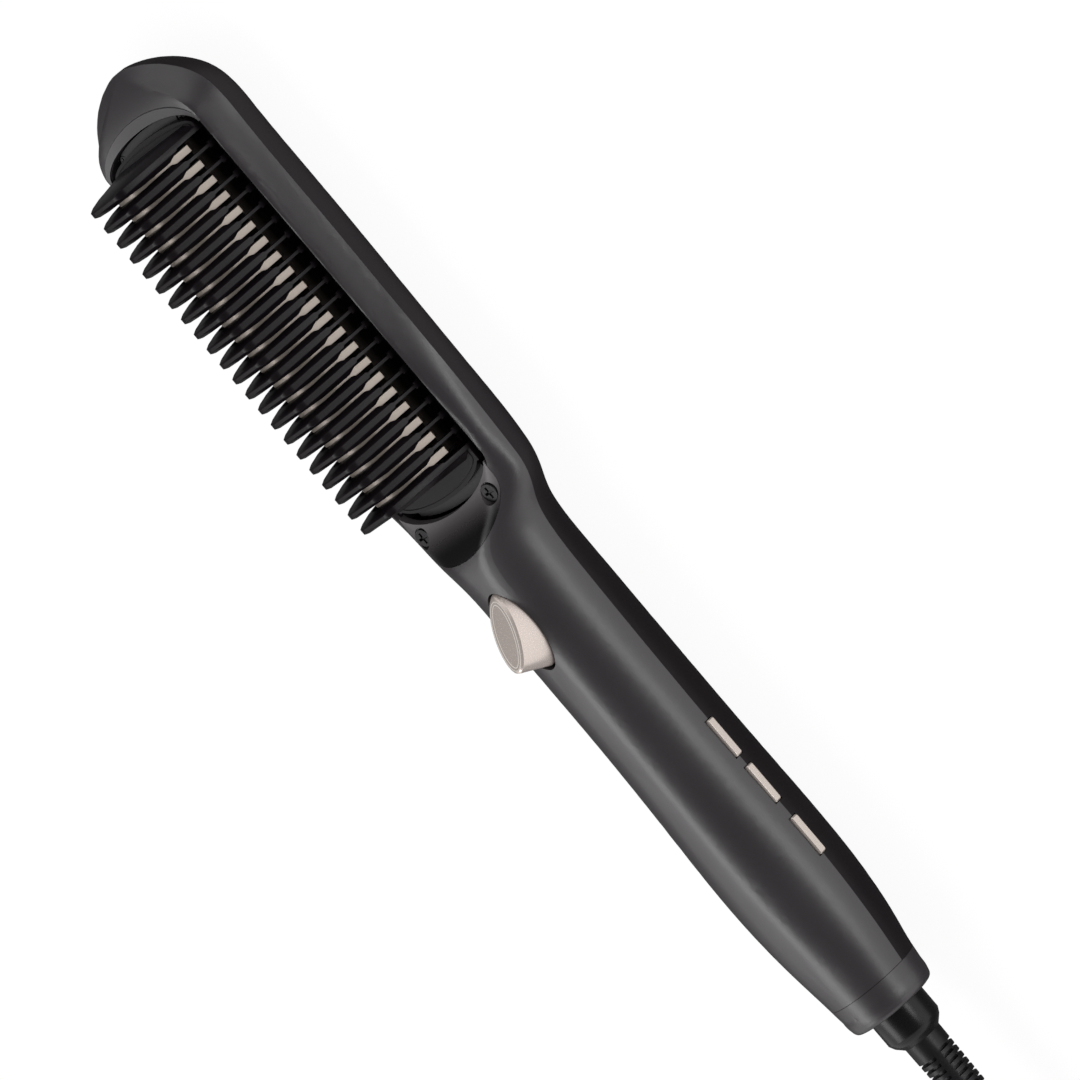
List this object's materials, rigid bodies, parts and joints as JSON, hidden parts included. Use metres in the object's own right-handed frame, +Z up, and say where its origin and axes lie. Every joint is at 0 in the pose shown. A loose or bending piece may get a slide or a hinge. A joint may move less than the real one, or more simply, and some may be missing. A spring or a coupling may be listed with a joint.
{
  "type": "hair straightening brush",
  "caption": "Corded hot brush with a comb of arrow-edged teeth over heated fins, a squeeze lever that shifts the comb, side buttons and a swivel cord end.",
  "frame": {"origin": "on the back, under the middle of the brush: bottom centre of its bounding box", "axes": "+X from the head's tip to the cord end, +Y towards the side with the buttons, +Z up, out of the comb"},
  "size_m": [0.3328, 0.0488, 0.0415],
  "materials": {
    "front_plastic": "fine satin charcoal moulding",
    "rear_plastic": "fine satin near-black moulding",
    "comb_plastic": "heat-resistant moulding, semi-gloss",
    "frame_plastic": "heat-resistant moulding",
    "heated_metal": "champagne ceramic-look coating on aluminium",
    "lever_finish": "champagne metallic lacquer",
    "button_finish": "champagne metallic lacquer",
    "cord_end_plastic": "gloss black moulding",
    "cap_plastic": "satin black moulding",
    "sleeve_rubber": "soft black moulding",
    "screw_steel": "black-finished steel",
    "spring_steel": "plain steel",
    "ceramic": "white ceramic strip",
    "board_green": "glass-fibre board",
    "part_grey": "moulded electrical parts",
    "switch_black": "moulded switch bodies",
    "lead_sleeve": "silicone sleeves",
    "contact_brass": "turned contacts",
    "bush_plastic": "natural acetal"
  },
  "bodies": {
    "root": {"front_shell": "front_plastic", "rear_shell": "rear_plastic", "cover_plate": "front_plastic", "cover_screws": "screw_steel", "chassis": "frame_plastic", "tip_screws": "screw_steel", "heat_plate": "heated_metal", "plate_screws": "screw_steel", "heater": "ceramic", "heater_clip": "spring_steel", "thermal_fuse": "spring_steel", "thermistor": "part_grey", "trigger_pin": "spring_steel", "return_spring": "spring_steel", "control_board": "board_green", "board_parts": "part_grey", "board_screws": "screw_steel", "button_board": "board_green", "tact_switches": "switch_black", "heater_leads": "lead_sleeve", "end_cap": "cap_plastic", "swivel_bush": "bush_plastic", "contact_block": "part_grey"},
    "comb": {"comb": "comb_plastic", "link_rod": "frame_plastic", "link_screw": "screw_steel"},
    "trigger": {"trigger": "lever_finish", "link_pin": "spring_steel"},
    "button_high": {"button_high": "button_finish", "high_plunger": "bush_plastic"},
    "button_low": {"button_low": "button_finish", "low_plunger": "bush_plastic"},
    "button_power": {"button_power": "button_finish", "power_plunger": "bush_plastic"},
    "swivel": {"swivel_collar": "cord_end_plastic", "swivel_contact": "contact_brass", "strain_relief": "sleeve_rubber"}
  },
  "joints": [
    {"name": "trigger_squeeze", "type": "hinge", "parent": "root", "child": "trigger", "pos_m": [-0.0169, 0, 0.024], "axis": [0, 1, 0], "range_deg": [0, 10], "stiffness_Nm_per_rad": 0.25, "springref_deg": -5.73, "deforming": ["return_spring"]},
    {"name": "comb_slide", "type": "slide", "parent": "root", "child": "comb", "axis": [-1, 0, 0], "range_m": [0, 0.00085]},
    {"name": "press_high", "type": "slide", "parent": "root", "child": "button_high", "axis": [0, -1, 0], "range_m": [0, 0.0007], "stiffness_N_per_m": 1200, "springref_m": -0.0005},
    {"name": "press_low", "type": "slide", "parent": "root", "child": "button_low", "axis": [0, -1, 0], "range_m": [0, 0.0007], "stiffness_N_per_m": 1200, "springref_m": -0.0005},
    {"name": "press_power", "type": "slide", "parent": "root", "child": "button_power", "axis": [0, -1, 0], "range_m": [0, 0.0007], "stiffness_N_per_m": 1200, "springref_m": -0.0005},
    {"name": "cord_swivel", "type": "hinge", "parent": "root", "child": "swivel", "pos_m": [0.112, 0, 0.016], "axis": [1, 0, 0], "continuous": true}
  ],
  "couplings": [
    {"joint": "trigger_squeeze", "follows": "comb_slide", "rad_per_m": 205.12}
  ]
}
